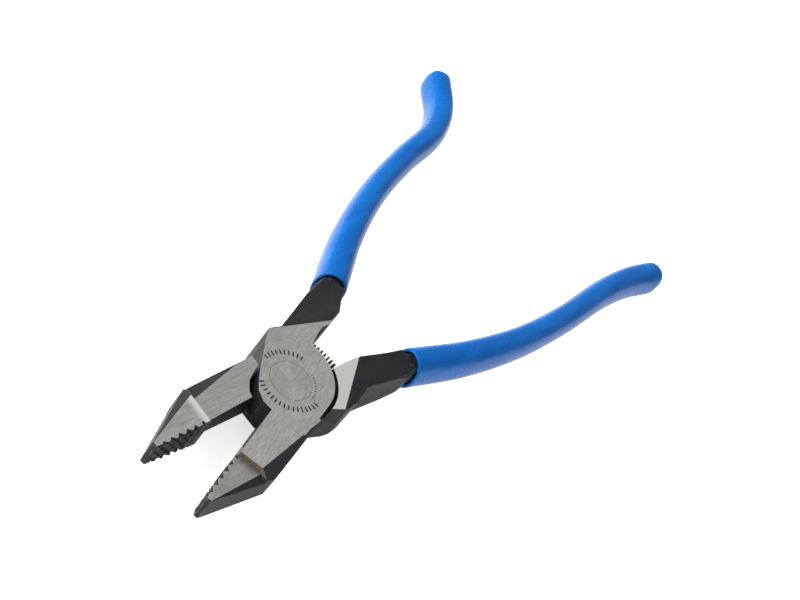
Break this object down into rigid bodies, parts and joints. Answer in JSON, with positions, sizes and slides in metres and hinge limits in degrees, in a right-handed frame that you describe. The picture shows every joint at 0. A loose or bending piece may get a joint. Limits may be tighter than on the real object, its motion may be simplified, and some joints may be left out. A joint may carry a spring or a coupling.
{
  "type": "lineman pliers",
  "caption": "Side-cutting lineman pliers with toothed nose, lapped rivet joint, return spring, hook-bend handle and dipped sleeves, standing part open.",
  "frame": {"origin": "on the rivet axis at the lower ground joint face", "axes": "+X from the rivet towards the jaw tips, +Z along the rivet from the lower joint face to the upper one, +Y to the side of the upper half's jaw"},
  "size_m": [0.2264, 0.1148, 0.0159],
  "materials": {
    "forged_steel_upper": "black oxide forging with bright ground joint and jaw faces",
    "forged_steel_lower": "black oxide forging with bright ground jaw and shoulder faces",
    "rivet_steel": "bright steel ground flush with the joint faces",
    "spring_wire": "dark oiled spring wire",
    "dipped_sleeve": "glossy dipped vinyl, vivid blue"
  },
  "bodies": {
    "lower_lever": {"lower_half": "forged_steel_lower", "lower_grip": "dipped_sleeve", "rivet": "rivet_steel", "return_spring": "spring_wire"},
    "upper_lever": {"upper_half": "forged_steel_upper", "upper_grip": "dipped_sleeve"}
  },
  "joints": [
    {"name": "jaw_pivot", "type": "hinge", "parent": "lower_lever", "child": "upper_lever", "pos_m": [0, 0, 0.00795], "axis": [0, 0, 1], "range_deg": [-20.4, 6], "stiffness_Nm_per_rad": 0.5, "deforming": ["return_spring"]}
  ]
}
